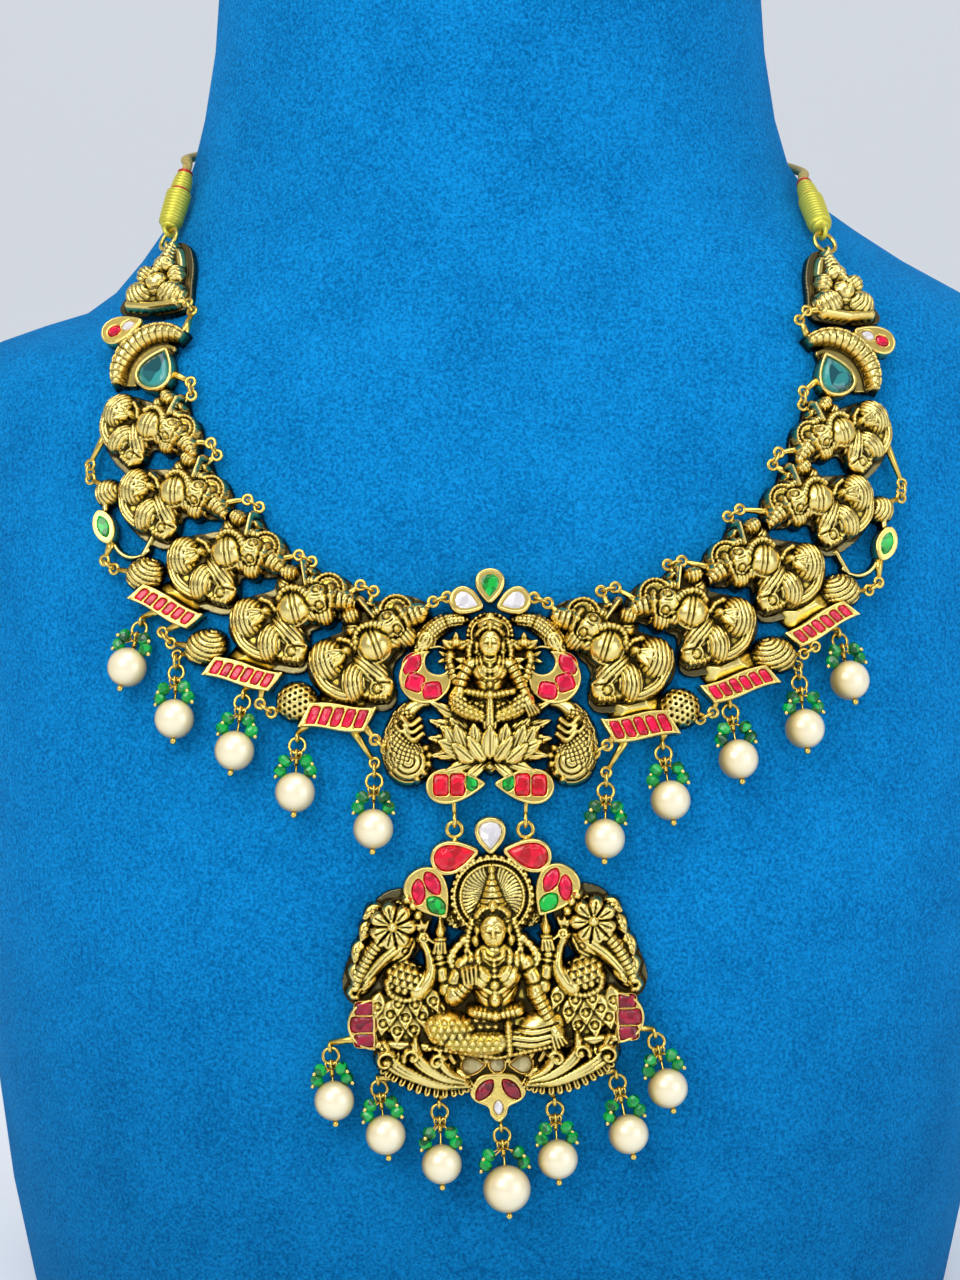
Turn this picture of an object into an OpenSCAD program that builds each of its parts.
// A kundan necklace of hinged cast plaques, laid round the velvet neck bust that shows it.
// Z is up, the front faces -Y, and the origin is on the base, under the middle of the whole part.
// Left and right are the viewer's. Lengths are millimetres and angles degrees.
// A plaque is drawn flat, with X to its right, Y up and Z out of its face, and then set on the bust.

/* [Bust] */
// Height of the bust
bust_height = 350; // [345:1:360]
// How far the neck's axis lies behind the middle of the part
neck_axis_y = 21; // [20:0.1:22]
// Points round each level of the bust
bust_sides = 32; // [24:4:48]

/* [Cast gold] */
// Thickness of a plaque's plate
plate = 2.4; // [2:0.1:2.8]
// Height of a stone setting above a plaque's back
setting_height = 3.4; // [3:0.1:3.8]
// Width of a setting's rim
bezel = 0.7; // [0.5:0.05:0.8]
// Depth of the seat sunk for a stone
seat_depth = 0.7; // [0.5:0.1:0.9]
// Gap between the bust and the nearest point of a plaque
rest_gap = 0.3; // [0.2:0.05:0.5]

/* [Rings] */
// Wire radius of the small rings
wire = 0.35; // [0.3:0.01:0.37]
// Radius of a link ring, to the middle of its wire
link_radius = 1.5; // [1.45:0.05:1.6]
// Radius of the eye that a link ring passes through
eye_radius = 1; // [0.95:0.05:1.05]
// Radius of a jump ring that carries a drop
jump_radius = 1.7; // [1.6:0.05:1.8]

/* [Drops] */
// Radius of a pearl
pearl_radius = 4.2; // [3.9:0.1:4.3]
// Radius of the pendant's middle pearl
big_pearl_radius = 5; // [4.8:0.1:5.2]
// Radius of a green bead
bead_radius = 1.2; // [1:0.05:1.25]

/* [Pendant] */
// Height of the axis on which the pendant swings
hinge_z = 120.8; // [120.5:0.1:121]
// Lean of the hanging pendant against the chest
pendant_tilt = 4.6; // [4.4:0.1:4.8]
// Turn of the pendant's plate in its own plane
pendant_roll = 1.7; // [0:0.1:2]

/* [Cord] */
// Radius of the cord
cord_radius = 1.1; // [0.9:0.1:1.3]
// Sides of the cord's round section
cord_sides = 8; // [8:1:12]
// Number of straight stretches round the neck
cord_steps = 36; // [30:2:44]

/* [Hidden] */
$fn = 24;
GOLD = "goldenrod";
PEARL = "seashell";
RUBY = "crimson";
GREEN = "green";
CLEAR = "white";

// Levels of the bust: height, left and right half widths, depths before and behind the
// neck's axis, and the power of the rounded section, where 2 is an ellipse.
BUST = [
    [0, 103.5, 103.5, 95, 62, 2.5],
    [3, 106, 106, 97, 64, 2.5],
    [26, 110.5, 110.5, 98, 65, 2.5],
    [50, 113.5, 113.5, 98, 65.5, 2.5],
    [75, 116.5, 116.5, 97, 66, 2.5],
    [100, 119, 119, 95, 66, 2.5],
    [125, 121, 121, 91.5, 67, 2.45],
    [150, 122.5, 122.5, 86, 67, 2.4],
    [175, 123, 123, 78.5, 67, 2.35],
    [200, 122, 122, 70, 65.5, 2.3],
    [209, 119, 120.5, 67, 64.5, 2.28],
    [214.5, 112, 118, 65, 63.5, 2.25],
    [218, 102, 116, 64, 62.5, 2.2],
    [221, 92, 113, 63, 62, 2.2],
    [226, 85, 107, 61.5, 61, 2.2],
    [233, 79, 94, 59.5, 60, 2.15],
    [240, 74, 83, 57.5, 58.5, 2.1],
    [247, 70, 73, 56, 57, 2.05],
    [255, 67, 67.5, 54.5, 55, 2],
    [265, 64.5, 64.5, 53.5, 53.5, 2],
    [280, 62, 62, 52.5, 52.5, 2],
    [300, 60.5, 60.5, 52, 52, 2],
    [bust_height - 4, 60, 60, 52, 52, 2],
    [bust_height, 57, 57, 49, 49, 2],
];
LEFT_HALF = [for (b = BUST) [b[0], b[1]]];
RIGHT_HALF = [for (b = BUST) [b[0], b[2]]];
FRONT_DEPTH = [for (b = BUST) [b[0], b[3]]];
BACK_DEPTH = [for (b = BUST) [b[0], b[4]]];
POWER = [for (b = BUST) [b[0], b[5]]];

// Where each plaque lies: x, z, turn to the right, lean back, and roll in its own plane.
// From the end of the string to the middle: end, paisley, then five figures. Each figure has
// a size, a turn of its head, crown and arm about the belly, and a longer crown.
LEFT_PLAQUES = [
    [-71, 229.5, -30, 34, 4],
    [-72, 214, -24, 28, 0],
    [-72, 200.8, -20, 18, -38],
    [-67, 187.05, -16, 17.5, -22],
    [-55.8, 174.65, -13, 17, -12],
    [-42, 163.3, -9, 16.5, -6],
    [-25.4, 156, -4.5, 16.5, 0],
];
RIGHT_PLAQUES = [
    [74.6, 228, 30, 34, -4],
    [74.5, 213, 22, 26, 0],
    [74.6, 199.4, 20, 18, 38],
    [69.7, 185.5, 17, 17.5, 24],
    [58.2, 173, 13, 17, 14],
    [43.1, 162.8, 8.5, 16.5, 10],
    [25.75, 155.8, 4, 16.5, 4],
];
// The right-hand bars, bumps and leaf settings sit nearer the foot of their figure.
LOWER_SHIFT = [2, -2];
CENTRE_PLACE = [0, 145.8, 0, 13, 0];
FIGURE_SIZE = [1, 1, 0.86, 0.91, 0.95, 0.98, 1];
FIGURE_BEND = [0, 0, -25, -34, -38, -22, 0];
CROWN_EXTRA = [0, 0, 0.4, 1, 0.3, 0.2, -0.8];
BELLY = [1.7, -0.2];

// Links on the inner edge, from the end plaque to the centre: x, z and stand-off from the bust.
LEFT_INNER = [
    [-63.5, 223.3, 3.2], [-63, 207.6, 3], [-58, 195.5, 2.8], [-49.5, 184.5, 2.8],
    [-38.5, 173.5, 2.8], [-25.6, 167.6, 2.8], [-10.4, 165.4, 3],
];
RIGHT_INNER = [
    [66.2, 222.5, 3.2], [66, 205.8, 3], [60, 193.5, 2.8], [51, 182.5, 2.8],
    [38.5, 172.6, 2.8], [24.6, 167.4, 2.8], [10.6, 165.2, 3],
];
// Links on the outer edge, from the first figure to the centre: x, z and stand-off.
LEFT_OUTER = [
    [-84.5, 190, 2.8], [-80, 171, 2.8], [-67.5, 156.5, 2.8], [-46.5, 143, 2.8], [-22.6, 136, 3.2],
];
RIGHT_OUTER = [
    [87, 186, 2.8], [80.6, 166.5, 2.8], [66.6, 154, 2.8], [44.9, 141.5, 2.8], [22.9, 135.1, 3.2],
];

// Drops: jump ring's x and z, and pearl's x and z. Drops 2 and 5 hang by one more link.
LEFT_DROPS = [
    [-73.5, 158, -75, 150],
    [-65.5, 149.5, -65, 140],
    [-51.5, 144, -52.5, 134],
    [-40, 135.5, -40, 126],
    [-24, 128.5, -24, 119],
];
RIGHT_DROPS = [
    [73.3, 155.6, 74.3, 147.4],
    [64.6, 147.4, 64.8, 138],
    [50, 142.1, 51, 132.3],
    [36, 134, 37, 124.5],
    [24, 126.6, 23.6, 117],
];
// Drops of the pendant: jump ring's x and z, pearl's x and z, and pearl radius.
PENDANT_DROPS = [
    [-33, 71.5, -32, 62.5, pearl_radius],
    [-23, 64.8, -21.5, 55.5, pearl_radius],
    [-10.5, 60, -10, 49.5, pearl_radius],
    [2.5, 55, 3.5, 44.5, big_pearl_radius],
    [13.5, 60.5, 14, 50.5, pearl_radius],
    [26.5, 66, 28.5, 55.5, pearl_radius],
    [34.5, 74.5, 36.5, 65, pearl_radius],
];

// Outlines of a figure's plate below the belly and above it, and the reach of the whole casting.
FIGURE_LOWER = [
    [-1.6, 3.6], [-5.6, 2.2], [-9.2, 0.6], [-11.6, -2.4], [-11.8, -5.6], [-10.2, -8.2],
    [-7.2, -10.6], [-2.2, -12.4], [3, -12.8], [5.2, -11.6], [5.2, -8.4], [4.4, -5], [5.4, -1.5], [5, 2.5],
];
FIGURE_UPPER = [
    [12, 8], [9.6, 9.6], [6, 10.2], [2.6, 8.8], [-1.2, 9], [-4.4, 6.4], [-4.6, 2.4],
    [-1.2, -1.4], [4.6, -2.4], [7, -0.6], [9.6, 2.8], [11.8, 6],
];
FIGURE_REACH = [
    [14, 3], [10, 8], [4, 9], [-3, 8], [-12, -2], [-17, -8], [-17, -13], [-9, -18], [0, -18], [6, -11],
];
END_OUTLINE = [
    [-7.8, -7.6], [7.2, -7.4], [7.4, 0], [6, 5.4], [3.8, 8.8], [0.6, 9.2], [-2.6, 5.6], [-6, -1],
];
PAISLEY_REACH = [[8, 8], [-4, 10], [-12, 8], [-10, -4], [-8, -9], [4, -8], [6, 0]];
CENTRE_REACH = [
    [0, 28], [-8, 22], [-16, 12], [-19, 4], [-21, -8], [-21, -17], [-13, -22], [0, -18],
    [13, -22], [21, -17], [21, -8], [19, 4], [16, 12], [8, 22],
];

// Ruby bars of figures 3 to 5: centre x, y, length, height, roll, and how many rubies.
BARS = [[-9, -14.4, 15, 4.2, -12, 6], [-7.6, -15, 15, 4.4, -6, 6], [-6, -15.2, 14, 5.2, -3, 5]];
// Bumps of figures 2 to 5: x, y, radius, and length of the straight middle.
BUMPS = [[-13.4, -6.4, 3, 0], [-15.2, -8.2, 3.4, 1.4], [-15.8, -9.6, 3.6, 1.8], [-14.8, -11.8, 4.2, 0]];

// Stones: x, y, outline, length, width and roll. A pear or leaf points up until it is rolled.
// The left one of a pair is listed, and the right one mirrors it.
TEAL_STONE = [2.4, -3, "pear", 8.6, 7.4, -14];
END_LEAF_STONES = [[-6.8, 6.8, "leaf", 3.2, 2.2, -66], [-9.8, 5.4, "oval", 3, 2.4, -66]];
END_LEAF = [-8.3, 6.2, "pear", 8.4, 4.8, -66];
FIGURE_LEAF_STONE = [-10.1, -13.4, "leaf", 6.4, 3.4, 48];
TOP_PEARS = [[0, 23.4, "pear", 5.8, 4.6, 180], [-4.9, 20.1, "pear", 5.8, 4.2, -110]];
CRESCENT_STONES = [
    [-16.3, 7, "leaf", 4.6, 3, -32], [-15.7, 3.1, "cushion", 3.2, 3.2, -20],
    [-12.1, 1.4, "cushion", 3, 3.4, 10],
];
LOW_PAISLEY = [-7.2, -18.5, "pear", 11.4, 6.4, -86];
LOW_PAISLEY_STONES = [
    [-10.2, -18.4, "cushion", 4, 2.7, 0], [-6.8, -18.3, "cushion", 4.2, 2.7, 0],
    [-3.9, -18, "leaf", 3, 2, 20],
];
PENDANT_PEARS = [[0, -2.7, "pear", 6, 4.9, 180], [-7.6, -6.9, "pear", 8.6, 5.4, -78]];
SIDE_PEAR = [-13, -14.7, "pear", 10.8, 8, -147];
SIDE_STONES = [
    [-15.3, -14, "leaf", 4.8, 2.2, 0], [-12.4, -12.3, "leaf", 4.8, 2.4, 28],
    [-11.7, -17, "leaf", 4.2, 2.8, 48],
];
MOON = [-25.2, -41.6, 5.8, 5.4];
MOON_STONES = [
    [-27.6, -38.3, "oval", 2, 2.8, 0], [-28, -41.5, "oval", 2.4, 4, 0], [-27.7, -44.7, "oval", 2.2, 3.4, 0],
];
CRYSTALS = [[0, -50.8, "oval", 3, 3, 0], [-5, -50.8, "pear", 4.6, 3.6, -90]];
BASE_OUTLINE = [
    [-5.8, -56.2], [-3.8, -53.2], [0, -52.6], [3.8, -53.2], [5.8, -56.2], [4.9, -58.3],
    [2.3, -59.6], [1.6, -61.5], [0, -62.8], [-1.6, -61.5], [-2.3, -59.6], [-4.9, -58.3],
];
BASE_STONES = [[0, -59.8, "leaf", 3.2, 2, 0], [-2.8, -56, "leaf", 4.8, 2.2, -40]];

// Points inside a plaque where the rods of its eyes and drops end.
INNER_FROM = [[3, -5], [5, -3], [8, 5], [8, 5], [8, 5], [8, 5], [8, 5]];
INNER_TO = [[6, 6], [-1, 6], [-1, 6], [-1, 6], [-1, 6], [-1, 6], [-5, 20]];
OUTER_FROM = [[-7.6, -5.4], [-7.6, -15.6], [-4, -16], [-3, -15.6], [-1, -16]];
OUTER_TO = [[-13, -5.6], [-15, -8.6], [-16, -10.4], [-15, -12.4], [-17, -13]];
DROP_FROM = [[-10, -15], [-17, -11], [-4.5, -16], [-11.5, -16], [-3.6, -16.5]];
DROP_PLAQUE = [4, 5, 5, 6, 6];
// Drops 2 and 5 of a side hang by one more link.
DROP_HANGS_LOW = [false, true, false, false, true];

// Vectors and planes

function unit(v) = v / norm(v);

// Right, up and out of a plane that faces out, rolled to the left by roll
function plane(out, roll = 0) =
    let (r = unit(cross([0, 0, 1], out)), u = cross(out, r))
    [r * cos(roll) + u * sin(roll), u * cos(roll) - r * sin(roll), out];

// Any right and up square to the direction v
function along(v) =
    let (w = unit(v), s = abs(w[2]) < 0.9 ? [0, 0, 1] : [1, 0, 0], r = unit(cross(s, w)))
    [r, cross(w, r), w];

module on_plane(axes, origin) {
    multmatrix([
        [axes[0][0], axes[1][0], axes[2][0], origin[0]],
        [axes[0][1], axes[1][1], axes[2][1], origin[1]],
        [axes[0][2], axes[1][2], axes[2][2], origin[2]],
        [0, 0, 0, 1],
    ])
        children();
}

// The bust's surface

function bust_front(x, z) =
    let (w = lookup(z, x < 0 ? LEFT_HALF : RIGHT_HALF), p = lookup(z, POWER), u = abs(x) / w)
    u >= 1 ? neck_axis_y : neck_axis_y - lookup(z, FRONT_DEPTH) * pow(1 - pow(u, p), 1 / p);

// Outward direction of the surface, taken over 10 mm
function bust_out(x, z) =
    let (
        fx = (bust_front(x + 5, z) - bust_front(x - 5, z)) / 10,
        fz = (bust_front(x, z + 5) - bust_front(x, z - 5)) / 10
    )
    unit([fx, -1, fz]);

// A point that stands off the surface over x, z
function off_bust(x, z, stand_off) = [x, bust_front(x, z), z] + bust_out(x, z) * stand_off;

// Places of the plaques

function facing(row) = [sin(row[2]) * cos(row[3]), -cos(row[2]) * cos(row[3]), sin(row[3])];
function plaque_row(side, i) = i == 7 ? CENTRE_PLACE : side < 0 ? LEFT_PLAQUES[i] : RIGHT_PLAQUES[i];
function plaque_axes(side, i) = plane(facing(plaque_row(side, i)), plaque_row(side, i)[4]);
function reach(i) = i == 0 ? END_OUTLINE : i == 1 ? PAISLEY_REACH : i == 2 ? FIGURE_LOWER
    : i == 7 ? CENTRE_REACH : FIGURE_REACH;
function mirrored(side, i) = side > 0 && i < 7 ? -1 : 1;
function moved(p, d) = concat([p[0] + d[0], p[1] + d[1]], len(p) > 2 ? [for (i = [2:len(p) - 1]) p[i]] : []);
function lower(side, p) = side > 0 ? moved(p, LOWER_SHIFT) : p;

// Middle of a plaque's back, as near the bust as its reach allows
function plaque_seat(side, i) =
    let (
        row = plaque_row(side, i),
        axes = plaque_axes(side, i),
        y = bust_front(row[0], row[1]),
        depths = [
            for (p = reach(i), k = [0, 0.5, 1])
                let (q = [row[0], y, row[1]] + (axes[0] * p[0] * mirrored(side, i) + axes[1] * p[1]) * k)
                    q[1] - bust_front(q[0], q[2])
        ]
    )
    [row[0], y - max(depths) - rest_gap / cos(row[3]), row[1]];

// A point of a figure's upper part, turned about the belly and sized
function bent(i, p) =
    let (b = i < 7 ? FIGURE_BEND[i] : 0, size = i < 7 ? FIGURE_SIZE[i] : 1, d = p - BELLY)
    (BELLY + [d[0] * cos(b) - d[1] * sin(b), d[0] * sin(b) + d[1] * cos(b)]) * size;

// A point of a plaque's plate, in the part's frame
function in_plaque(side, i, p) =
    let (axes = plaque_axes(side, i), sx = side > 0 ? -1 : 1)
    plaque_seat(side, i) + axes[0] * p[0] * sx + axes[1] * p[1] + axes[2] * plate / 2;

module set_plaque(side, i) {
    on_plane(plaque_axes(side, i), plaque_seat(side, i))
        mirror([mirrored(side, i) < 0 ? 1 : 0, 0, 0])
            children();
}

module both_sides() {
    children();
    mirror([1, 0, 0]) children();
}

// Rings, rods and eyes

module ring(centre, axis, radius, thick = wire) {
    on_plane(along(axis), centre)
        rotate_extrude()
            translate([radius, 0])
                circle(thick);
}

module rod(from, to, r1, r2) {
    on_plane(along(to - from), from)
        cylinder(h = norm(to - from), r1 = r1, r2 = r2);
}

// An eye on a rod that starts in its wire and ends inside the plaque
module eye(centre, axis, target) {
    run = target - centre;
    ring(centre, axis, eye_radius);
    rod(centre + unit(run - axis * (run * axis)) * eye_radius, target, wire + 0.07, wire + 0.12);
}

function inner_row(side, k) = side < 0 ? LEFT_INNER[k] : RIGHT_INNER[k];
function outer_row(side, k) = side < 0 ? LEFT_OUTER[k] : RIGHT_OUTER[k];
function link_row(side, inner, k) = inner ? inner_row(side, k) : outer_row(side, k);
function link_from(side, inner, k) =
    inner ? in_plaque(side, k, bent(k, INNER_FROM[k]))
        : in_plaque(side, k + 2, k == 0 ? OUTER_FROM[0] : lower(side, OUTER_FROM[k]));
function link_to(side, inner, k) =
    inner ? in_plaque(side, k + 1, bent(k + 1, INNER_TO[k]))
        : in_plaque(side, k + 3, k == 4 ? OUTER_TO[4] : lower(side, OUTER_TO[k]));
function link_centre(side, inner, k) =
    let (row = link_row(side, inner, k)) off_bust(row[0], row[1], row[2]);
function link_out(side, inner, k) = let (row = link_row(side, inner, k)) bust_out(row[0], row[1]);
function link_way(side, inner, k) =
    let (
        out = link_out(side, inner, k),
        run = link_to(side, inner, k) - link_from(side, inner, k)
    )
    unit(run - out * (run * out));

module link(side, inner, k) {
    out = link_out(side, inner, k);
    ring(link_centre(side, inner, k), cross(out, link_way(side, inner, k)), link_radius);
}

// The eye before a link, on the plaque that comes first
module eye_before(side, inner, k) {
    eye(
        link_centre(side, inner, k) - link_way(side, inner, k) * (link_radius + 0.05),
        link_out(side, inner, k), link_from(side, inner, k)
    );
}

// The eye after a link, on the plaque that comes next
module eye_after(side, inner, k) {
    eye(
        link_centre(side, inner, k) + link_way(side, inner, k) * (link_radius + 0.05),
        link_out(side, inner, k), link_to(side, inner, k)
    );
}

// Drops

jump_stand_off = 2.4;
pearl_clearance = 0.4;
// Distance between the wires of two rings that pass through each other
link_step = 2 * wire + 0.16;

function drop_ring(row) = off_bust(row[0], row[1], jump_stand_off);
function drop_pearl(row, r) = off_bust(row[2], row[3], r + pearl_clearance);
function drop_down(row, r) = unit(drop_pearl(row, r) - drop_ring(row));
function drop_out(row, r) =
    let (d = drop_down(row, r), n = bust_out(row[0], row[1])) unit(n - d * (n * d));
function drop_side(row, r) = cross(drop_down(row, r), drop_out(row, r));
function drop_row(side, k) = side < 0 ? LEFT_DROPS[k] : RIGHT_DROPS[k];
// Middle of the extra link of a low drop
function hanger_centre(row) =
    drop_ring(row) - drop_down(row, pearl_radius) * (jump_radius + link_radius - link_step);

module jump_ring(row, r) {
    ring(drop_ring(row), drop_out(row, r), jump_radius);
}

// The link between the eye and the jump ring of a low drop
module hanger(side, k) {
    row = drop_row(side, k);
    ring(hanger_centre(row), drop_side(row, pearl_radius), link_radius);
}

// The eye that a plaque gives to a drop
module drop_eye(side, k) {
    row = drop_row(side, k);
    down = drop_down(row, pearl_radius);
    low = DROP_HANGS_LOW[k];
    held = low ? hanger_centre(row) : drop_ring(row);
    radius = low ? link_radius : jump_radius;
    axis = low ? drop_out(row, pearl_radius) : drop_side(row, pearl_radius);
    eye(
        held - down * (radius + eye_radius - link_step), axis,
        in_plaque(side, DROP_PLAQUE[k], lower(side, DROP_FROM[k]))
    );
}

// A headpin: loop, wire through the pearl, and ball end
module pearl_pin(row, r) {
    down = drop_down(row, r);
    loop = drop_ring(row) + down * (jump_radius + eye_radius - link_step);
    foot = drop_pearl(row, r) + down * (r + 0.62);
    ring(loop, drop_side(row, r), eye_radius, 0.3);
    rod(loop + down * eye_radius, foot, 0.25, 0.25);
    translate(foot) sphere(0.7);
}

module pearl(row) {
    r = drop_radius(row);
    color(PEARL)
        on_plane(along(drop_down(row, r)), drop_pearl(row, r))
            difference() {
                sphere(r);
                cylinder(h = 3 * r, r = 0.5, center = true);
            }
}

// Four green beads beside the pin, above the pearl
module bead_cluster(row, r) {
    down = drop_down(row, r);
    aside = drop_side(row, r);
    out = drop_out(row, r);
    for (s = [-1, 1]) {
        translate(drop_pearl(row, r) + aside * s * (r - 0.5) - down * r + out * 0.4)
            sphere(bead_radius);
        translate(drop_pearl(row, r) + aside * s * (r - 0.9) - down * (r + 2.7) + out * 0.2)
            sphere(bead_radius);
    }
}

// Gems and settings

function root(v) = sign(v) * sqrt(abs(v));

// Outline of a gem in n points, from its top and to the left
function gem(kind, l, w, n, grow = 0) = [
    for (i = [0:n - 1])
        let (t = 360 * i / n, a = w / 2 + grow, b = l / 2 + grow)
            kind == "pear" ? [-a * sin(t) * sin(t / 2) / 0.77, b * cos(t)]
            : kind == "leaf" ? [-a * sin(t) * abs(sin(t)), b * cos(t)]
            : kind == "cushion" ? [-a * root(sin(t)), b * root(cos(t))]
            : [-a * sin(t), b * cos(t)]
];

// A closed solid through rings of points, each ring counter-clockwise seen from the last one
module loft(rings) {
    n = len(rings[0]);
    last = len(rings) - 1;
    polyhedron(
        [for (r = rings, p = r) p],
        concat(
            [[for (i = [0:n - 1]) i]],
            [[for (i = [n - 1:-1:0]) last * n + i]],
            [for (k = [0:last - 1], i = [0:n - 1])
                let (j = (i + 1) % n)
                    [k * n + i, (k + 1) * n + i, (k + 1) * n + j, k * n + j]]
        )
    );
}

module at_stone(s) {
    translate([s[0], s[1], 0])
        rotate(s[5])
            children();
}

// A cut stone: a straight girdle, then facets up to a flat table
module cut_stone(s, sides = 10) {
    low = setting_height - seat_depth + 0.12;
    outline = gem(s[2], s[3], s[4], sides);
    at_stone(s)
        loft([
            [for (p = outline) [p[0], p[1], low]],
            [for (p = outline) [p[0], p[1], low + 0.7]],
            [for (p = outline) [p[0] * 0.62, p[1] * 0.62, low + 1.4]],
        ]);
}

// The seat sunk for a stone
module stone_seat(s) {
    at_stone(s)
        translate([0, 0, setting_height - seat_depth])
            linear_extrude(seat_depth + 1)
                polygon(gem(s[2], s[3], s[4], 20, 0.16));
}

// A setting of its own round one stone
module bezel_setting(s, sides = 20) {
    difference() {
        at_stone(s)
            linear_extrude(setting_height)
                polygon(gem(s[2], s[3], s[4], sides, bezel + 0.12));
        stone_seat(s);
    }
}

// One setting, drawn by its children in 2D, with seats for several stones
module field_setting(stones) {
    difference() {
        linear_extrude(setting_height) children();
        for (s = stones)
            stone_seat(s);
    }
}

// Cast relief

module mass(x, y, r, z = plate - 0.5) {
    translate([x, y, z]) sphere(r);
}

module limb(from, to, r1, r2, z = plate) {
    rod([from[0], from[1], z], [to[0], to[1], z], r1, r2);
}

// A curved limb: part of a ring, from one angle on through a turn
module curl(x, y, radius, thick, start, turn, z = plate - 0.6) {
    translate([x, y, z])
        rotate(start)
            rotate_extrude(angle = turn)
                translate([radius, 0])
                    circle(thick);
}

// Nothing of a casting reaches behind its flat back
module flat_backed() {
    difference() {
        union() children();
        translate([-60, -90, -20]) cube([120, 140, 20]);
    }
}

module bust() {
    levels = [for (b = BUST)
        [for (i = [0:bust_sides - 1])
            let (t = 360 * i / bust_sides, s = sin(t), c = cos(t), e = 2 / b[5])
                [
                    (s < 0 ? b[1] : b[2]) * sign(s) * pow(abs(s), e),
                    neck_axis_y - (c > 0 ? b[3] : b[4]) * sign(c) * pow(abs(c), e),
                    b[0]
                ]]];
    color("dodgerblue") loft(levels);
}

// The cord

dori_start_z = 256;
dori_end_z = 252.5;
dori_rise = 6;
dori_first = 74;
dori_sweep = 212;
dori_sleeve_gap = 0.3;
dori_straight = 3;

// A point of the cord's middle line, from the left sleeve at 0 to the right one at 1
function dori_point(a) =
    let (
        z = dori_start_z + (dori_end_z - dori_start_z) * a + dori_rise * (1 - cos(360 * a)) / 2,
        off = cord_radius + 0.7 + 1.3 * pow(1 - sin(180 * a), 6),
        turn = dori_first + dori_sweep * a,
        w = lookup(z, a < 0.5 ? LEFT_HALF : RIGHT_HALF) + off,
        d = lookup(z, cos(turn) > 0 ? FRONT_DEPTH : BACK_DEPTH) + off
    )
    [-w * sin(turn), neck_axis_y - d * cos(turn), z];

// Foot of a sleeve, beside the end ring
function sleeve_foot(side) = side < 0 ? off_bust(-68.3, 239.5, 3.6) : off_bust(70.5, 238.5, 4.3);
function sleeve_way(side) = unit(dori_point(side < 0 ? 0 : 1) - sleeve_foot(side));
function sleeve_tip(side) = dori_point(side < 0 ? 0 : 1) - sleeve_way(side) * dori_straight;

function dori_route() = concat(
    [sleeve_tip(-1) + sleeve_way(-1) * dori_sleeve_gap, sleeve_tip(-1) + sleeve_way(-1) * 1.6],
    [for (i = [0:cord_steps]) dori_point(0.012 + 0.976 * i / cord_steps)],
    [sleeve_tip(1) + sleeve_way(1) * 1.6, sleeve_tip(1) + sleeve_way(1) * dori_sleeve_gap]
);

function cord_ring(route, k) =
    let (
        last = len(route) - 1,
        way = k == 0 ? route[1] - route[0]
            : k == last ? route[last] - route[last - 1]
            : unit(route[k + 1] - route[k]) + unit(route[k] - route[k - 1]),
        axes = along(way)
    )
    [for (i = [0:cord_sides - 1])
        let (t = 360 * i / cord_sides)
            route[k] + (axes[0] * cos(t) + axes[1] * sin(t)) * cord_radius];

module dori_cord() {
    route = dori_route();
    color("gold") loft([for (k = [0:len(route) - 1]) cord_ring(route, k)]);
}

end_ring_radius = 2.6;
end_wire = 0.5;
end_loop_radius = 1.3;

// Middle of the end ring, below the sleeve's loop
function end_loop_centre(side) = sleeve_foot(side) - end_way(side) * (end_loop_radius - 0.25);
function end_ring_centre(side) =
    end_loop_centre(side) - end_way(side) * (end_loop_radius + end_ring_radius - 2 * end_wire - 0.16);
function end_way(side) =
    let (a = in_plaque(side, 0, [0, 6])) unit(sleeve_foot(side) - a);
function end_out(side) =
    let (w = end_way(side), n = bust_out(side * 68, 236)) unit(n - w * (n * w));

// A sleeve of wound thread between bindings, as steps of start, length and two radii
SLEEVE_STEPS = [
    [0, 1.3, 1.6, 2.5], [1.2, 7.5, 2.7, 2.9], [8.6, 1.7, 2.3, 2.3],
    [10.2, 2.3, 2.4, 2.1], [12.4, 1.6, 1.9, 1.8],
];
sleeve_length = 14;

module sleeve_step(side, step) {
    stretch = norm(sleeve_tip(side) - sleeve_foot(side)) / sleeve_length;
    translate([0, 0, step[0] * stretch])
        cylinder(h = step[1] * stretch, r1 = step[2], r2 = step[3]);
}

module dori_end(side) {
    color("khaki") {
        on_plane(along(sleeve_way(side)), sleeve_foot(side))
            for (step = SLEEVE_STEPS)
                sleeve_step(side, step);
        ring(
            end_loop_centre(side), cross(end_way(side), end_out(side)),
            end_loop_radius, end_wire
        );
    }
}

module end_ring(side) {
    color(GOLD)
        ring(end_ring_centre(side), end_out(side), end_ring_radius, end_wire);
}

// The eye on an end plaque, through which the end ring passes
module end_eye(side) {
    eye(
        end_ring_centre(side) - end_way(side) * (end_ring_radius + eye_radius - end_wire - wire - 0.15),
        cross(end_way(side), end_out(side)), in_plaque(side, 0, [0, 5])
    );
}

// Plaques

module end_plaque(side) {
    color(GOLD) {
        set_plaque(side, 0)
            flat_backed() {
                linear_extrude(plate) polygon(END_OUTLINE);
                mass(0, -1.2, 3.1);
                mass(0.5, 3.2, 2.6);
                mass(-4.4, -3.8, 2.9);
                mass(4.4, -3.8, 2.9);
                limb([0.6, 4.5], [1, 8.4], 1.9, 1.1);
            }
        end_eye(side);
        eye_before(side, true, 0);
    }
}

// The right-hand leaf setting sits a little lower.
function end_leaf(side, p) = side > 0 ? moved(p, [-0.6, -1.2]) : p;

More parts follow.
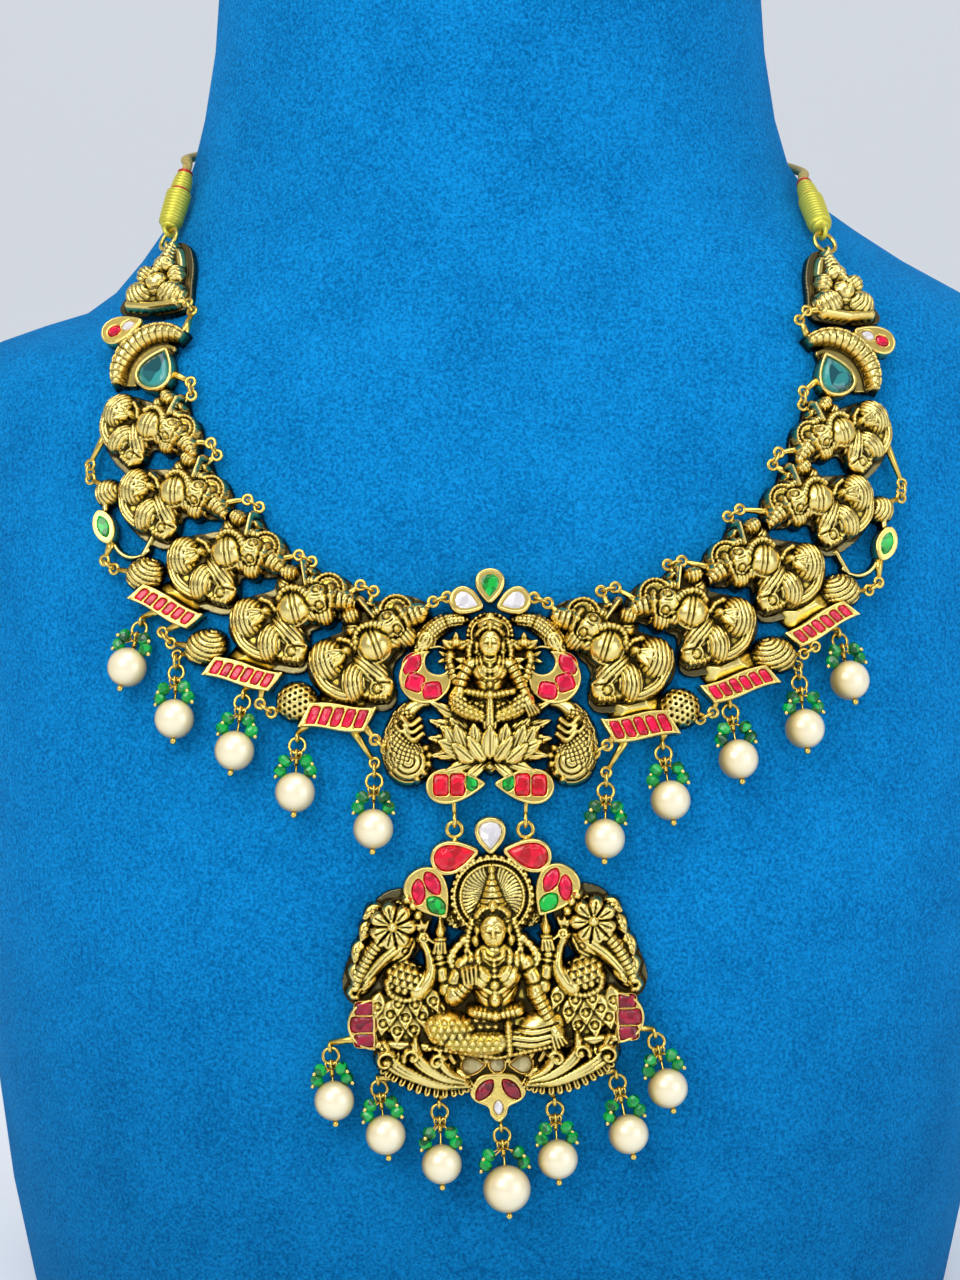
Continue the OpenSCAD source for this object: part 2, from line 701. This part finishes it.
module paisley_plaque(side) {
    leaf = end_leaf(side, END_LEAF);
    color(GOLD) {
        set_plaque(side, 1)
            flat_backed() {
                curl(2, -3, 9, 2.7, 58, 146);
                bezel_setting(TEAL_STONE);
                field_setting([for (p = END_LEAF_STONES) end_leaf(side, p)])
                    at_stone(leaf) polygon(gem(leaf[2], leaf[3], leaf[4], 20, bezel));
                linear_extrude(plate - 0.8) polygon([[-6, -6], [4, -5], [5, 3], [-4, 6]]);
                linear_extrude(plate - 0.8) polygon([[-9, 1], [-3, 2], [-2, 6], [-8, 7]]);
            }
        eye_after(side, true, 0);
        eye_before(side, true, 1);
    }
}

// The elephant-headed figure on its plate, with its upper part turned about the belly
module figure(bend, crown) {
    linear_extrude(plate) polygon(FIGURE_LOWER);
    mass(1.7, -0.2, 3.7);
    mass(-8.3, -3.4, 3.6);
    mass(-2.6, -7.6, 3.2);
    mass(2.7, -9.2, 2.8);
    translate([BELLY[0], BELLY[1], 0])
        rotate(bend)
            translate([-BELLY[0], -BELLY[1], 0])
                upper_figure(crown);
}

module upper_figure(crown) {
    linear_extrude(plate) polygon(FIGURE_UPPER);
    if (crown > 0) {
        linear_extrude(plate) polygon([[9, 8.6], [9, 3.6], [12 + crown, 5.6], [12 + crown, 7.8]]);
    }
    mass(5.3, 4.3, 3.4);
    mass(7.7, 2.4, 2.2);
    mass(-3.7, 4.2, 1.9);
    limb([7.5, 6.6], [11.8 + crown, 7], 2.3, 1.1);
    limb([-3.7, 4.2], [1.2, 2.4], 1.4, 1.7);
    limb([-1, 8], [1.6, 4.6], 0.9, 0.6, plate + 0.1);
    translate([6, 7, 0]) cylinder(h = plate + 1, r = 3.1);
}

function bar_outline(l, h) = concat(
    [for (u = [0:0.2:1]) [(u - 0.5) * l + 0.22 * h, h / 2 + 0.3 * sin(360 * u)]],
    [for (u = [1:-0.2:0]) [(u - 0.5) * l - 0.22 * h, -h / 2 + 0.3 * sin(360 * u)]]
);

// The rubies of a bar, leaning with its slanted ends
function bar_stones(bar) = [
    for (i = [0:bar[5] - 1])
        let (u = ((i + 0.5) / bar[5] - 0.5) * (bar[2] - 1.2))
            [
                bar[0] + u * cos(bar[4]), bar[1] + u * sin(bar[4]),
                "leaf", bar[3] - 1.1, 2, bar[4] - 22
            ]
];

module ruby_bar(bar) {
    field_setting(bar_stones(bar))
        translate([bar[0], bar[1]])
            rotate(bar[4])
                polygon(bar_outline(bar[2], bar[3]));
    linear_extrude(plate)
        polygon([
            [-9, -7], [3, -10.5],
            [bar[0] + bar[2] * 0.36, bar[1]], [bar[0] - bar[2] * 0.36, bar[1] + 1],
        ]);
}

module bump(b) {
    mass(b[0], b[1], b[2], 0.4);
    if (b[3] > 0) {
        mass(b[0] - b[3], b[1] - b[3] * 0.5, b[2], 0.4);
    }
}

// A leaf setting on a thin hoop, below the second figure
module leaf_on_hoop(side) {
    shift = lower(side, [0, 0]);
    bezel_setting(lower(side, FIGURE_LEAF_STONE));
    translate([shift[0], shift[1], 0]) {
        curl(-3.6, -12.2, 4.8, 0.5, 210, 130, 1);
        limb([-12.8, -8.6], [-11.4, -11.4], 1, 1, 1.2);
        limb([-13.2, -6.6], [-8, -5], 1.1, 1.1, 1.1);
    }
    limb([0.2 + shift[0], -15.2 + shift[1]], [1, -10], 0.6, 0.8, 1);
}

module ganesha_plaque(side, k) {
    i = k + 1;
    color(GOLD) {
        set_plaque(side, i)
            flat_backed() {
                scale(FIGURE_SIZE[i]) figure(FIGURE_BEND[i], CROWN_EXTRA[i]);
                if (k > 1) {
                    bump(lower(side, BUMPS[k - 2]));
                }
                if (k == 2) {
                    leaf_on_hoop(side);
                }
                if (k > 2) {
                    ruby_bar(lower(side, BARS[k - 3]));
                }
            }
        eye_after(side, true, i - 1);
        eye_before(side, true, i);
        eye_before(side, false, i - 2);
        if (k > 1) {
            eye_after(side, false, i - 3);
        }
        for (d = [0:4])
            if (DROP_PLAQUE[d] == i) {
                drop_eye(side, d);
            }
    }
}

// The centre plaque

bail_radius = 1.4;
bail_wire = 0.45;
pendant_ring_radius = 1.6;
ring_x = 7.4;

// The seated goddess: crown, head, body, four arms and lap
module goddess(head_y, size) {
    limb([0, head_y + 1.2 * size], [0, head_y + 5.4 * size], 1.7 * size, 0.6 * size, plate + 0.6);
    mass(0, head_y, 2.4 * size, plate + 0.4);
    limb([0, head_y - 2.6 * size], [0, head_y - 12.6 * size], 3.3 * size, 2.5 * size, plate - 0.6);
}

module crescent() {
    difference() {
        translate([-13.5, 4.1]) circle(5.5);
        translate([-10.9, 7.4]) circle(2.7);
    }
}

// A half of the centre plaque: arch, crescent, mango form, arm and lotus side
module centre_half() {
    curl(-6, 6.6, 9.7, 1.5, 66, 84, 1.2);
    field_setting(CRESCENT_STONES) crescent();
    curl(-14, -7.4, 5.2, 2.6, 62, 160, 0.8);
    mass(-17.4, -13.4, 4.7, 0.2);
    limb([-3.4, 7.4], [-5.6, 2.2], 1.2, 1.1);
    limb([-5.6, 2.2], [-7, 9.6], 1.1, 0.8);
    mass(-7.2, 11.8, 1.7, 1.6);
    linear_extrude(1.4) polygon([[-1, 8], [-7, 13], [-9, 12], [-7, 2], [-12, 2.4], [-12, 0.6], [0, 0]]);
    linear_extrude(plate)
        polygon([
            [0, 0.6], [-7.4, 0.2], [-12.8, -1.4], [-11.6, -5], [-13, -8], [-12.4, -11.4],
            [-9, -13.4], [-4, -15.2], [0, -17],
        ]);
    mass(-5, -3.4, 3.6, 0.8);
    linear_extrude(1.4) polygon([[-13.4, -9], [-10, -9], [-10, -13], [-14.6, -14.6]]);
    linear_extrude(1.4) polygon([[-15, -14], [-11, -15], [-9, -17], [-12, -18]]);
    linear_extrude(1.4) polygon([[-15.2, -3.6], [-12.8, 0], [-14.6, 0]]);
    field_setting(LOW_PAISLEY_STONES)
        at_stone(LOW_PAISLEY) polygon(gem(LOW_PAISLEY[2], LOW_PAISLEY[3], LOW_PAISLEY[4], 20, 0.5));
    bezel_setting(TOP_PEARS[1]);
}

// A bail hangs in the plane of the swing, and a rod joins it to the lower paisley
module bail(x) {
    top = hinge_point() + [x, 0, bail_radius - 2 * bail_wire - 0.15];
    ring(top, [1, 0, 0], bail_radius, bail_wire);
    rod(top + [0, 0, bail_radius], in_plaque(-1, 7, [x * 1.05, -18.5]), bail_wire, bail_wire + 0.05);
}

module centre_plaque() {
    color(GOLD) {
        set_plaque(-1, 7)
            flat_backed() {
                both_sides() centre_half();
                goddess(12, 0.95);
                translate([0, 11.6, 0]) cylinder(h = plate, r = 5.2);
                linear_extrude(plate) polygon([[-3, 14], [3, 14], [4, 19], [0, 21], [-4, 19]]);
                mass(0, -8.4, 5.4, -0.4);
                bezel_setting(TOP_PEARS[0]);
            }
        for (side = [-1, 1]) {
            eye_after(side, true, 6);
            eye_after(side, false, 4);
            bail(side * ring_x);
        }
    }
}

// The pendant

pendant_axis_height = 1.2;
function pendant_out() = [0, -cos(pendant_tilt), sin(pendant_tilt)];
// Middle of the swing's axis, where the pendant's back clears the chest
function hinge_point() =
    let (
        down = [0, -sin(pendant_tilt), -cos(pendant_tilt)],
        y = bust_front(0, hinge_z),
        depths = [
            for (s = [0:8:72])
                let (q = [0, y, hinge_z] + down * s) q[1] - bust_front(0, q[2])
        ]
    )
    [0, y - max(depths) - rest_gap, hinge_z] + pendant_out() * pendant_axis_height;
function pendant_origin() = hinge_point() - pendant_out() * pendant_axis_height;
function pendant_axes(roll = pendant_roll) = plane(pendant_out(), roll);
function in_pendant(p) =
    let (axes = pendant_axes())
    pendant_origin() + axes[0] * p[0] + axes[1] * p[1] + axes[2] * plate / 2;

module set_pendant() {
    on_plane(pendant_axes(), pendant_origin()) children();
}

module elephant_head() {
    linear_extrude(plate + 0.2)
        polygon([
            [-13.4, -15.4], [-19, -14.4], [-23.4, -16.4], [-27, -22.6], [-30.4, -30], [-31, -34.2],
            [-29, -37], [-25.6, -36], [-21.6, -30.6], [-17.4, -27.6], [-15, -24], [-13.4, -20],
        ]);
    mass(-20.6, -21.8, 4.3, 0.6);
    limb([-22, -24], [-27.2, -34], 2, 1.3, 2.8);
}

module peacock() {
    mass(-18.6, -32.2, 3.9, 1.4);
    limb([-16.2, -34.4], [-14, -28.6], 1.9, 1.3, 1.6);
    mass(-14, -28.6, 1.55, 1.6);
    limb([-14, -28.2], [-14.4, -23.4], 1.25, 1, 1.6);
    mass(-14.4, -22.8, 1.7, 1.6);
    linear_extrude(plate + 0.4)
        polygon([
            [-10.4, -34], [-16, -33], [-22, -34.4], [-24.4, -38], [-23.2, -43.4], [-18, -46.4],
            [-12, -47], [-9, -42],
        ]);
}

module half_moon() {
    intersection() {
        translate([MOON[0], MOON[1]]) scale([MOON[2] / MOON[3], 1]) circle(MOON[3]);
        translate([MOON[0] - 8, MOON[1] - 8]) square([8, 16]);
    }
}

// Swept foliage under the figure, from the outer curl to the middle
module scroll_base() {
    linear_extrude(plate + 0.2)
        polygon([
            [0, -44], [-10, -45], [-17, -45.4], [-25.4, -44.6], [-25.8, -48.4], [-24.6, -52.6],
            [-20.4, -53.4], [-16, -56.4], [-10.4, -57.2], [-6, -56.6], [-4, -54], [0, -54],
        ]);
    curl(-22.4, -50.2, 1.9, 1, 0, 300, 2.6);
    curl(-11.6, -50.6, 4.6, 1.1, 150, 170, 2.2);
}

module pendant_half() {
    elephant_head();
    peacock();
    scroll_base();
    bezel_setting(PENDANT_PEARS[1]);
    field_setting(SIDE_STONES)
        at_stone(SIDE_PEAR) polygon(gem(SIDE_PEAR[2], SIDE_PEAR[3], SIDE_PEAR[4], 20, bezel - 0.2));
    field_setting(MOON_STONES) half_moon();
    linear_extrude(plate) polygon([[-25.6, -38], [-22, -38], [-22, -47], [-25.6, -46]]);
    limb([-4.6, -27], [-7.6, -35.4], 1.8, 1.6);
    limb([-7.6, -35.4], [-10.6, -26.6], 1.5, 1.1, plate + 0.6);
    mass(-10.7, -24.6, 1.7, plate);
    limb([-10.7, -24], [-10.4, -19], 1, 0.8, plate - 0.6);
    limb([-7.4, -35], [-10.8, -41.4], 1.5, 1.2, plate + 0.4);
    mass(-9.6, -42.6, 3.9, 1.6);
    limb([-9.6, -42.6], [2, -44.4], 3.3, 2.6, 1.8);
    linear_extrude(1.4) polygon([[0, -24], [-9, -22], [-11, -20], [-7, -9], [0, -6]]);
    linear_extrude(1.4) polygon([[0, -38], [-10, -34], [-17, -34], [-17, -38], [0, -44]]);
}

module pendant_ring(x) {
    ring(
        hinge_point() + [x, 0, 0] + pendant_axes(0)[1] * -pendant_ring_radius,
        pendant_out(), pendant_ring_radius, bail_wire
    );
    rod(
        hinge_point() + [x, 0, 0] + pendant_axes(0)[1] * -2 * pendant_ring_radius,
        in_pendant([x, -6.5]), bail_wire + 0.1, bail_wire + 0.15
    );
}

// Rods of the pendant's drops end here, in its plate.
PENDANT_DROP_FROM = [
    [-27.5, -44.5], [-21.5, -53], [-11.5, -57], [0, -60.5], [11, -57], [22.5, -53], [27.5, -44],
];

module pendant_plaque() {
    color(GOLD) {
        set_pendant()
            flat_backed() {
                both_sides() pendant_half();
                translate([0, -14.6, 0]) cylinder(h = plate, r = 8.3);
                goddess(-22.2, 1.25);
                bezel_setting(PENDANT_PEARS[0]);
                for (c = CRYSTALS)
                    bezel_setting(c, 14);
                mirror([1, 0, 0]) bezel_setting(CRYSTALS[1], 14);
                field_setting(concat(BASE_STONES, [mirrored_stone(BASE_STONES[1])]))
                    polygon(BASE_OUTLINE);
            }
        for (side = [-1, 1])
            pendant_ring(side * ring_x);
        for (k = [0:6])
            pendant_drop_eye(k);
    }
}

module pendant_drop_eye(k) {
    row = PENDANT_DROPS[k];
    r = row[4];
    eye(
        drop_ring(row) - drop_down(row, r) * (jump_radius + eye_radius - link_step),
        drop_side(row, r), in_pendant(PENDANT_DROP_FROM[k])
    );
}

// Drops as fields of rings, pins and beads

NECKLACE_DROPS = concat(LEFT_DROPS, RIGHT_DROPS);
function drop_radius(row) = len(row) > 4 ? row[4] : pearl_radius;

module pearl_pins(rows) {
    color(GOLD)
        for (row = rows)
            pearl_pin(row, drop_radius(row));
}

module drop_rings(rows) {
    color(GOLD)
        for (row = rows)
            jump_ring(row, drop_radius(row));
}

module green_beads(rows) {
    color(GREEN)
        for (row = rows)
            bead_cluster(row, drop_radius(row));
}

module link_rings(side) {
    color(GOLD) {
        for (k = [0:6])
            link(side, true, k);
        for (k = [0:4])
            link(side, false, k);
        for (k = [1, 4])
            hanger(side, k);
    }
}

// Stones

function mirrored_stone(s) = [-s[0], s[1], s[2], s[3], s[4], -s[5]];
function both(list) = concat(list, [for (s = list) mirrored_stone(s)]);

module teal_stone(side) {
    color("teal") set_plaque(side, 1) cut_stone(TEAL_STONE, 12);
}

module leaf_stones(side) {
    color(GREEN)
        set_plaque(side, 3) cut_stone(lower(side, FIGURE_LEAF_STONE));
    set_plaque(side, 1) {
        color(CLEAR) cut_stone(end_leaf(side, END_LEAF_STONES[0]), 8);
        color(RUBY) cut_stone(end_leaf(side, END_LEAF_STONES[1]), 8);
    }
}

module bar_rubies(side) {
    color(RUBY)
        for (k = [3:5])
            set_plaque(side, k + 1)
                for (s = bar_stones(lower(side, BARS[k - 3])))
                    cut_stone(s, 8);
}

module centre_pear_stones() {
    set_plaque(-1, 7) {
        color(GREEN) cut_stone(TOP_PEARS[0]);
        color(CLEAR) cut_stone(TOP_PEARS[1]);
        color(CLEAR) cut_stone(mirrored_stone(TOP_PEARS[1]));
    }
}

module centre_crescent_rubies() {
    color(RUBY)
        set_plaque(-1, 7)
            for (s = both(CRESCENT_STONES))
                cut_stone(s);
}

module centre_paisley_stones() {
    color(RUBY)
        set_plaque(-1, 7)
            for (s = both([LOW_PAISLEY_STONES[0], LOW_PAISLEY_STONES[1]]))
                cut_stone(s, 8);
    color(GREEN)
        set_plaque(-1, 7)
            for (s = both([LOW_PAISLEY_STONES[2]]))
                cut_stone(s, 8);
}

module pendant_top_stones() {
    set_pendant() {
        color(CLEAR) cut_stone(PENDANT_PEARS[0]);
        color(RUBY) cut_stone(PENDANT_PEARS[1]);
        color(RUBY) cut_stone(mirrored_stone(PENDANT_PEARS[1]));
    }
}

module pendant_side_stones() {
    color(RUBY)
        set_pendant()
            for (s = both(concat([SIDE_STONES[0], SIDE_STONES[1]], MOON_STONES)))
                cut_stone(s);
    color(GREEN)
        set_pendant()
            for (s = both([SIDE_STONES[2]]))
                cut_stone(s);
}

module pendant_bow_crystals() {
    color(CLEAR)
        set_pendant()
            for (s = concat(CRYSTALS, [mirrored_stone(CRYSTALS[1])]))
                cut_stone(s);
}

module pendant_base_stones() {
    set_pendant() {
        color(CLEAR) cut_stone(BASE_STONES[0]);
        color(RUBY) cut_stone(BASE_STONES[1]);
        color(RUBY) cut_stone(mirrored_stone(BASE_STONES[1]));
    }
}

bust();  // neck_bust
dori_cord();
dori_end(-1);  // dori_end_left
dori_end(1);  // dori_end_right
end_ring(-1);  // end_ring_left
end_ring(1);  // end_ring_right
end_plaque(-1);  // end_plaque_left
end_plaque(1);  // end_plaque_right
paisley_plaque(-1);  // paisley_plaque_left
paisley_plaque(1);  // paisley_plaque_right
ganesha_plaque(-1, 1);  // ganesha_plaque_left_1
ganesha_plaque(-1, 2);  // ganesha_plaque_left_2
ganesha_plaque(-1, 3);  // ganesha_plaque_left_3
ganesha_plaque(-1, 4);  // ganesha_plaque_left_4
ganesha_plaque(-1, 5);  // ganesha_plaque_left_5
ganesha_plaque(1, 1);  // ganesha_plaque_right_1
ganesha_plaque(1, 2);  // ganesha_plaque_right_2
ganesha_plaque(1, 3);  // ganesha_plaque_right_3
ganesha_plaque(1, 4);  // ganesha_plaque_right_4
ganesha_plaque(1, 5);  // ganesha_plaque_right_5
centre_plaque();
pendant_plaque();
link_rings(-1);  // link_rings_left
link_rings(1);  // link_rings_right
pearl(LEFT_DROPS[0]);  // pearl_left_1
pearl(LEFT_DROPS[1]);  // pearl_left_2
pearl(LEFT_DROPS[2]);  // pearl_left_3
pearl(LEFT_DROPS[3]);  // pearl_left_4
pearl(LEFT_DROPS[4]);  // pearl_left_5
pearl(RIGHT_DROPS[0]);  // pearl_right_1
pearl(RIGHT_DROPS[1]);  // pearl_right_2
pearl(RIGHT_DROPS[2]);  // pearl_right_3
pearl(RIGHT_DROPS[3]);  // pearl_right_4
pearl(RIGHT_DROPS[4]);  // pearl_right_5
pearl(PENDANT_DROPS[0]);  // pendant_pearl_1
pearl(PENDANT_DROPS[1]);  // pendant_pearl_2
pearl(PENDANT_DROPS[2]);  // pendant_pearl_3
pearl(PENDANT_DROPS[3]);  // pendant_pearl_4
pearl(PENDANT_DROPS[4]);  // pendant_pearl_5
pearl(PENDANT_DROPS[5]);  // pendant_pearl_6
pearl(PENDANT_DROPS[6]);  // pendant_pearl_7
pearl_pins(NECKLACE_DROPS);  // necklace_pearl_pins
pearl_pins(PENDANT_DROPS);  // pendant_pearl_pins
drop_rings(NECKLACE_DROPS);  // necklace_drop_rings
drop_rings(PENDANT_DROPS);  // pendant_drop_rings
green_beads(NECKLACE_DROPS);  // necklace_green_beads
green_beads(PENDANT_DROPS);  // pendant_green_beads
teal_stone(-1);  // teal_stone_left
teal_stone(1);  // teal_stone_right
leaf_stones(-1);  // leaf_stones_left
leaf_stones(1);  // leaf_stones_right
bar_rubies(-1);  // bar_rubies_left
bar_rubies(1);  // bar_rubies_right
centre_pear_stones();
centre_crescent_rubies();
centre_paisley_stones();
pendant_top_stones();
pendant_side_stones();
pendant_bow_crystals();
pendant_base_stones();
